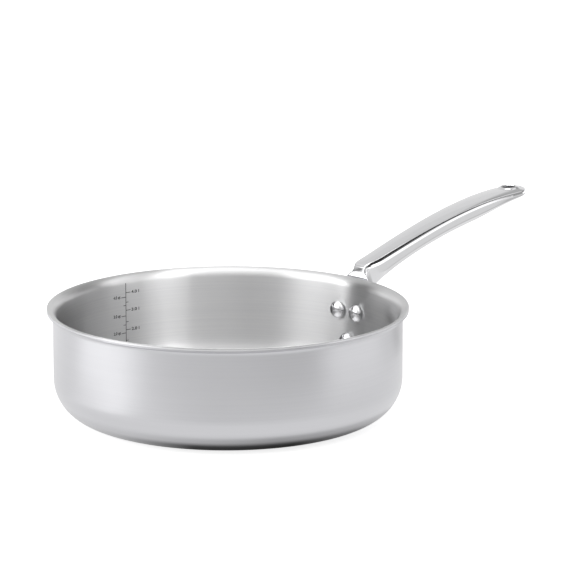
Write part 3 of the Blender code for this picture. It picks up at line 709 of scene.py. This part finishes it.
def eyeCutter():
    # oval plug whose flared ends leave the eye's edges rounded
    h = handle
    spot, along, up = eyeFrame()
    soft, flare = h["eyeRound"], h["eyeFlare"]
    levels = [(soft + h["plugReach"], h["plugReach"])]
    for i in range(7):
        a = math.radians(flare - flare * i / 6)
        levels.append((soft - soft * math.cos(a), soft * math.sin(a) - soft))
    ends = [(grow, h["eyeRimHeight"] + level, False) for grow, level in levels]
    ends += [(grow, -level, True) for grow, level in reversed(levels)]
    rings = []
    for grow, level, under in ends:
        ring = []
        for i in range(h["eyeSteps"]):
            a = 2 * math.pi * i / h["eyeSteps"]
            run, across = (h["eyeHalfLength"] + grow) * math.cos(a), (h["eyeHalfWidth"] + grow) * math.sin(a)
            drop = soleDepth(run) if under else 0.0
            ring.append(spot + along * run + Vector((0, across, 0)) + up * (level - drop))
        rings.append(ring)
    bm = bmesh.new()
    lofted(bm, rings)
    return looseObject("eyeCutter", bm)


def soleDepth(run):
    # depth of the sole under the eye's own plane, at a distance along the grip from the eye's middle
    spot, along, up = eyeFrame()
    best = min((gripStation(0.8 + 0.2 * i / 200) for i in range(196)),
               key=lambda s: abs((Vector((s[2], 0, s[3])) - spot).dot(along) - run))
    return -(Vector((best[2], 0, best[3])) - spot).dot(up)


def padOutline(grow, count):
    # rounded triangle round the three rivets, as (across, up), anticlockwise
    half = rivet["pairSpacing"] / 2
    corners = [(half, rivet["upperHeight"]), (-half, rivet["upperHeight"]), (0.0, rivet["lowerHeight"])]
    radius = handle["padMargin"] + grow
    points = []
    for i, (y, z) in enumerate(corners):
        before, after = corners[i - 1], corners[(i + 1) % 3]
        start = math.atan2(z - before[1], y - before[0]) - math.pi / 2
        end = math.atan2(after[1] - z, after[0] - y) - math.pi / 2
        while end < start:
            end += 2 * math.pi
        for k in range(16):
            a = start + (end - start) * k / 15
            points.append((y + radius * math.cos(a), z + radius * math.sin(a)))
    return resampled(points, count)


def resampled(points, count):
    # the same closed outline with evenly spaced points
    closed = [Vector(p) for p in points + points[:1]]
    lengths = [0.0]
    for a, b in zip(closed, closed[1:]):
        lengths.append(lengths[-1] + (b - a).length)
    found = []
    at = 0
    for i in range(count):
        target = lengths[-1] * i / count
        while lengths[at + 1] < target:
            at += 1
        share = (target - lengths[at]) / max(lengths[at + 1] - lengths[at], 1e-9)
        found.append(closed[at].lerp(closed[at + 1], share))
    return found


def ridingPad():
    # curved pad under the rivet tails, with a rounded outer edge
    h = handle
    soft, bevel, shares = h["padRound"], h["padBevel"], h["padShares"]
    middle = Vector((0.0, (rivet["upperHeight"] * 2 + rivet["lowerHeight"]) / 3))
    near = h["padInner"]
    far = near + h["padThickness"]
    layers = [(near, share, -bevel) for share in (*shares, 1.0)]
    layers += [(near + bevel, 1.0, 0.0)]
    for i in range(6):
        a = math.radians(90 * i / 5)
        layers.append((far - soft + soft * math.sin(a), 1.0, soft * math.cos(a) - soft))
    layers += [(far, share, -soft) for share in reversed(shares)]
    rings = []
    for radius, share, grow in layers:
        ring = []
        for p in padOutline(grow, h["padSteps"]):
            q = middle + (p - middle) * share
            angle = q.x / h["outerRadius"]
            ring.append(Vector((radius * math.cos(angle), radius * math.sin(angle), q.y)))
        rings.append(ring)
    bm = bmesh.new()
    lofted(bm, rings)
    return looseObject("pad", bm)


def combined(base, other, operation):
    # joins or cuts two closed solids and drops the second
    modifier = base.modifiers.new(operation.lower(), "BOOLEAN")
    modifier.operation = operation
    modifier.solver = "MANIFOLD"
    modifier.object = other
    bpy.context.view_layer.update()
    mesh = bpy.data.meshes.new_from_object(base.evaluated_get(bpy.context.evaluated_depsgraph_get()))
    base.modifiers.clear()
    base.data = mesh
    bpy.data.objects.remove(other, do_unlink=True)


def makeHandle():
    # sections lofted from the neck to the tip, with the pad joined on and the hanging eye cut through
    h = handle
    material = polishedSteel("mirrorPolishedCastStainless", {
        "light": "#e1e1e2", "dark": "#dddddf", "roughness": 0.06, "hazeScale": 120.0,
    })
    endStart = 1 - 2.0 * h["endRound"] / (h["reach"] - h["startOut"])
    grip = [gripStation(endStart * i / h["gripSteps"]) for i in range(h["gripSteps"])]
    for i in range(h["endSteps"] + 1):                       # closer and closer towards the tip
        share = math.sin(math.pi / 2 * i / h["endSteps"])
        grip.append(gripStation(endStart + (h["tipPlace"] - endStart) * share))
    neck = smoothBetween(neckStations() + grip[:1], h["neckSteps"])[:-h["neckSteps"]]
    stations = neck + grip
    last = len(neck) + h["easeReach"]
    for _ in range(h["easePasses"]):                         # evens out the neck's curvature
        eased = [list(s) for s in stations]
        for i in range(2, last):
            eased[i] = [(a + 2 * b + c) / 4 for a, b, c in zip(stations[i - 1], stations[i], stations[i + 1])]
        stations = eased
    bm = bmesh.new()
    lofted(bm, [sectionRing(s) for s in stations])
    raiseEyeRim(bm.verts)
    casting = looseObject("handleCasting", bm)
    combined(casting, ridingPad(), "UNION")
    combined(casting, eyeCutter(), "DIFFERENCE")
    bm = bmesh.new()
    bm.from_mesh(casting.data)
    bpy.data.objects.remove(casting, do_unlink=True)
    bmesh.ops.remove_doubles(bm, verts=bm.verts, dist=2e-6)
    piece = finished("handleCasting", bm, material, 38)
    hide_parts("handle")
    print("handle: pad, neck and grip in one casting,", len(piece.data.polygons), "faces")


# Fill marks etched on the inside wall, in metres: a scale line with quarts at its left and litres at its right.
# Their angle is in degrees round the pan, and the weight and cap height are shares of the letters' own size
marks = {
    "angle": 84.4, "wallRadius": 0.140, "proud": 0.00004, "sunk": 0.00003,
    "lineTop": 0.0845, "lineFoot": 0.0335, "lineWidth": 0.00055,
    "litres": (("4.0 l", 0.07614), ("3.0 l", 0.06081), ("2.0 l", 0.04387)),
    "litreHalves": (0.06781, 0.05067, 0.03463),
    "quarts": (("4.0 qt", 0.07232), ("3.0 qt", 0.05598), ("2.0 qt", 0.04117)),
    "quartHalves": (0.06511, 0.04815),
    "longTick": 0.0048, "shortTick": 0.0026, "tickHeight": 0.0005,
    "textHeight": 0.0025, "textGap": 0.0009, "textWidth": 0.0078, "textWeight": 0.028, "capHeight": 0.7,
    "barStep": 0.0008, "light": "#2b2c2e", "dark": "#17181a", "grainScale": 2500.0,
}


def embolden(mesh, weight):
    # moves the outline of flat letters outwards, which keeps each letter one sheet
    bm = bmesh.new()
    bm.from_mesh(mesh)
    outwards = []
    for vert in bm.verts:
        out = Vector()
        for edge in vert.link_edges:
            if edge.is_boundary:
                middle = (edge.verts[0].co + edge.verts[1].co) / 2
                side = (edge.verts[1].co - edge.verts[0].co).cross(Vector((0, 0, 1))).normalized()
                out += side if side.dot(middle - edge.link_faces[0].calc_center_median()) > 0 else -side
        outwards.append(out.normalized() * weight)
    for vert, out in zip(bm.verts, outwards):
        vert.co += out
    bm.to_mesh(mesh)
    bm.free()


def makeMarks():
    # drawn flat as on an unrolled wall, thickened, then rolled onto the wall
    material, tree = newMaterial("laserEtchedGrey")          # dark oxide of a laser on steel, quite matt
    place = addNode(tree, "ShaderNodeTexCoord").outputs["Object"]
    grain = addNode(tree, "ShaderNodeTexNoise", inputs={
        "Vector": place, "Scale": marks["grainScale"], "Detail": 2.0,
    }).outputs["Fac"]
    colour = addNode(tree, "ShaderNodeMix", {"data_type": "RGBA"}, {
        0: grain, 6: linear(marks["dark"]), 7: linear(marks["light"]),
    }).outputs[2]
    oxide = addNode(tree, "ShaderNodeBsdfPrincipled", inputs={
        "Base Color": colour, "Metallic": 0.2, "Roughness": 0.6,
    })
    addNode(tree, "ShaderNodeOutputMaterial", inputs={"Surface": oxide.outputs[0]})

    bm = bmesh.new()

    def bar(left, right, low, high):
        # a flat bar, in steps short enough to follow the wall. Across is to the right as seen from inside
        steps = max(2, round((right - left) / marks["barStep"]))
        corners = [bm.verts.new((left + (right - left) * i / steps, low, 0)) for i in range(steps + 1)]
        corners += [bm.verts.new((left + (right - left) * i / steps, high, 0)) for i in range(steps, -1, -1)]
        bmesh.ops.contextual_create(bm, geom=corners)

    def words(text, z, side):
        # a label at the end of its tick, on the left for side -1 and on the right for side 1
        curve = bpy.data.curves.new("words", "FONT")
        curve.body = text
        thing = addObject("words", curve)
        bpy.context.view_layer.update()
        mesh = bpy.data.meshes.new_from_object(thing.evaluated_get(bpy.context.evaluated_depsgraph_get()))
        embolden(mesh, marks["textWeight"])
        xs = [v.co.x for v in mesh.vertices]
        ys = [v.co.y for v in mesh.vertices]
        tall = marks["textHeight"] / marks["capHeight"]
        wide = marks["textWidth"] / (max(xs) - min(xs))
        start = marks["longTick"] + marks["textGap"]
        shift = start if side > 0 else -start - marks["textWidth"]
        for v in mesh.vertices:
            v.co = ((v.co.x - min(xs)) * wide + shift, (v.co.y - min(ys)) * tall + z - marks["textHeight"] / 2, 0)
        bm.from_mesh(mesh)
        bpy.data.objects.remove(thing, do_unlink=True)

    half = marks["lineWidth"] / 2
    bar(-half, half, marks["lineFoot"], marks["lineTop"])
    tick = marks["tickHeight"] / 2
    columns = ((1, marks["litres"], marks["litreHalves"]), (-1, marks["quarts"], marks["quartHalves"]))
    for side, labels, halves in columns:
        for text, z in labels:
            bar(*sorted((side * half, side * marks["longTick"])), z - tick, z + tick)
            words(text, z, side)
        for z in halves:
            bar(*sorted((side * half, side * marks["shortTick"])), z - tick, z + tick)
    bmesh.ops.remove_doubles(bm, verts=bm.verts, dist=1e-6)
    flat = bmesh.ops.extrude_face_region(bm, geom=list(bm.faces))
    bmesh.ops.translate(bm, verts=[v for v in flat["geom"] if isinstance(v, bmesh.types.BMVert)],
                        vec=(0, 0, marks["proud"] + marks["sunk"]))
    middle = math.radians(marks["angle"])
    for v in bm.verts:
        shell = marks["wallRadius"] + marks["sunk"] - v.co.z
        angle = middle - v.co.x / marks["wallRadius"]
        v.co = (shell * math.cos(angle), shell * math.sin(angle), v.co.y)
    piece = finished("fillMarks", bm, material)
    print("fill marks: litres and quarts")


bpy.context.scene.view_settings.view_transform = "Standard"
makeCamera()
makeWorld()
makeFloor()
makeBody()
makeRivets()
makeHandle()
makeMarks()
